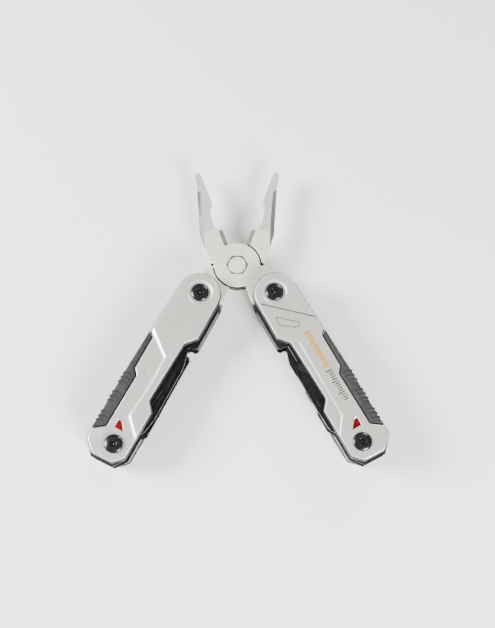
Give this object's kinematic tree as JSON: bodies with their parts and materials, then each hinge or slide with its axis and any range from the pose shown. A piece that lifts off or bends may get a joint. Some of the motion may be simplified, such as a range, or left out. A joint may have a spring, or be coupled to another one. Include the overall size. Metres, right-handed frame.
{
  "type": "folding multi tool",
  "caption": "Folding pocket multi tool: plier head on a lap joint, and two channelled handles with layered folding tools, shown open.",
  "frame": {"origin": "middle of the surface that the open tool lies on, in line with the plier pivot", "axes": "+Z through the tool's thickness, +Y from the handles towards the jaw tips, +X across the tool"},
  "size_m": [0.1472, 0.1562, 0.0244],
  "materials": {
    "plier_steel": "bead-blasted steel, machined bright on the lap disc and facets",
    "bright_steel": "satin turned steel",
    "pin_steel": "turned steel",
    "silver_scale": "fine silver metallic paint",
    "black_frame": "black coated steel sheet",
    "black_tool": "black oxide steel",
    "black_screw": "glossy black steel",
    "rubber_grip": "matte dark grey rubber",
    "red_tab": "smooth red plastic"
  },
  "bodies": {
    "front_jaw": {"front_plier_half": "plier_steel", "plier_pivot_bolt": "bright_steel", "plier_pivot_nut": "bright_steel"},
    "rear_jaw": {"rear_plier_half": "plier_steel"},
    "left_handle": {"left_frame": "black_frame", "left_handle_pin": "pin_steel", "left_tool_pin": "pin_steel", "left_tool_spacer": "pin_steel", "left_front_scale": "silver_scale", "left_rear_scale": "silver_scale", "left_front_grip": "rubber_grip", "left_rear_grip": "rubber_grip", "left_front_back_spring": "black_frame", "left_rear_back_spring": "black_frame", "left_front_handle_screw": "black_screw", "left_rear_handle_screw": "black_screw", "left_front_tool_screw": "black_screw", "left_rear_tool_screw": "black_screw"},
    "left_lock": {"left_lock_bar": "bright_steel", "left_front_lock_tab": "red_tab", "left_rear_lock_tab": "red_tab"},
    "wood_saw": {"wood_saw": "black_tool"},
    "serrated_blade": {"serrated_blade": "black_tool"},
    "can_opener": {"can_opener": "black_tool"},
    "metal_file": {"metal_file": "black_tool"},
    "right_handle": {"right_frame": "black_frame", "right_handle_pin": "pin_steel", "right_tool_pin": "pin_steel", "right_tool_spacer": "pin_steel", "right_front_scale": "silver_scale", "right_rear_scale": "silver_scale", "right_front_grip": "rubber_grip", "right_rear_grip": "rubber_grip", "right_front_back_spring": "black_frame", "right_rear_back_spring": "black_frame", "right_front_handle_screw": "black_screw", "right_rear_handle_screw": "black_screw", "right_front_tool_screw": "black_screw", "right_rear_tool_screw": "black_screw"},
    "right_lock": {"right_lock_bar": "bright_steel", "right_front_lock_tab": "red_tab", "right_rear_lock_tab": "red_tab"},
    "phillips_driver": {"phillips_driver": "black_tool"},
    "knife_blade": {"knife_blade": "black_tool"},
    "bottle_opener": {"bottle_opener": "black_tool"},
    "flat_driver": {"flat_driver": "black_tool"}
  },
  "joints": [
    {"name": "plier_pivot", "type": "hinge", "parent": "front_jaw", "child": "rear_jaw", "pos_m": [0, 0.02512, 0.0122], "axis": [0, 0, -1], "range_deg": [-40.6, 0]},
    {"name": "left_handle_fold", "type": "hinge", "parent": "rear_jaw", "child": "left_handle", "pos_m": [-0.01879, 0.00798, 0.0122], "axis": [0, 0, 1], "range_deg": [-169.2, 0]},
    {"name": "right_handle_fold", "type": "hinge", "parent": "front_jaw", "child": "right_handle", "pos_m": [0.01879, 0.00798, 0.0122], "axis": [0, 0, -1], "range_deg": [-169.2, 0]},
    {"name": "left_lock_release", "type": "slide", "parent": "left_handle", "child": "left_lock", "axis": [0.4764, 0.8792, 0], "range_m": [0, 0.0012], "stiffness_N_per_m": 50, "springref_m": -0.002},
    {"name": "wood_saw_hinge", "type": "hinge", "parent": "left_handle", "child": "wood_saw", "pos_m": [-0.05986, -0.06781, 0.01767], "axis": [0, 0, -1], "range_deg": [0, 180]},
    {"name": "serrated_blade_hinge", "type": "hinge", "parent": "left_handle", "child": "serrated_blade", "pos_m": [-0.05986, -0.06781, 0.01932], "axis": [0, 0, -1], "range_deg": [0, 180]},
    {"name": "can_opener_hinge", "type": "hinge", "parent": "left_handle", "child": "can_opener", "pos_m": [-0.05986, -0.06781, 0.00673], "axis": [0, 0, -1], "range_deg": [0, 180]},
    {"name": "metal_file_hinge", "type": "hinge", "parent": "left_handle", "child": "metal_file", "pos_m": [-0.05986, -0.06781, 0.00507], "axis": [0, 0, -1], "range_deg": [0, 180]},
    {"name": "right_lock_release", "type": "slide", "parent": "right_handle", "child": "right_lock", "axis": [-0.4764, 0.8792, 0], "range_m": [0, 0.0012], "stiffness_N_per_m": 50, "springref_m": -0.002},
    {"name": "phillips_driver_hinge", "type": "hinge", "parent": "right_handle", "child": "phillips_driver", "pos_m": [0.05986, -0.06781, 0.01767], "axis": [0, 0, 1], "range_deg": [0, 180]},
    {"name": "knife_blade_hinge", "type": "hinge", "parent": "right_handle", "child": "knife_blade", "pos_m": [0.05986, -0.06781, 0.01932], "axis": [0, 0, 1], "range_deg": [0, 180]},
    {"name": "bottle_opener_hinge", "type": "hinge", "parent": "right_handle", "child": "bottle_opener", "pos_m": [0.05986, -0.06781, 0.00673], "axis": [0, 0, 1], "range_deg": [0, 180]},
    {"name": "flat_driver_hinge", "type": "hinge", "parent": "right_handle", "child": "flat_driver", "pos_m": [0.05986, -0.06781, 0.00507], "axis": [0, 0, 1], "range_deg": [0, 180]}
  ]
}
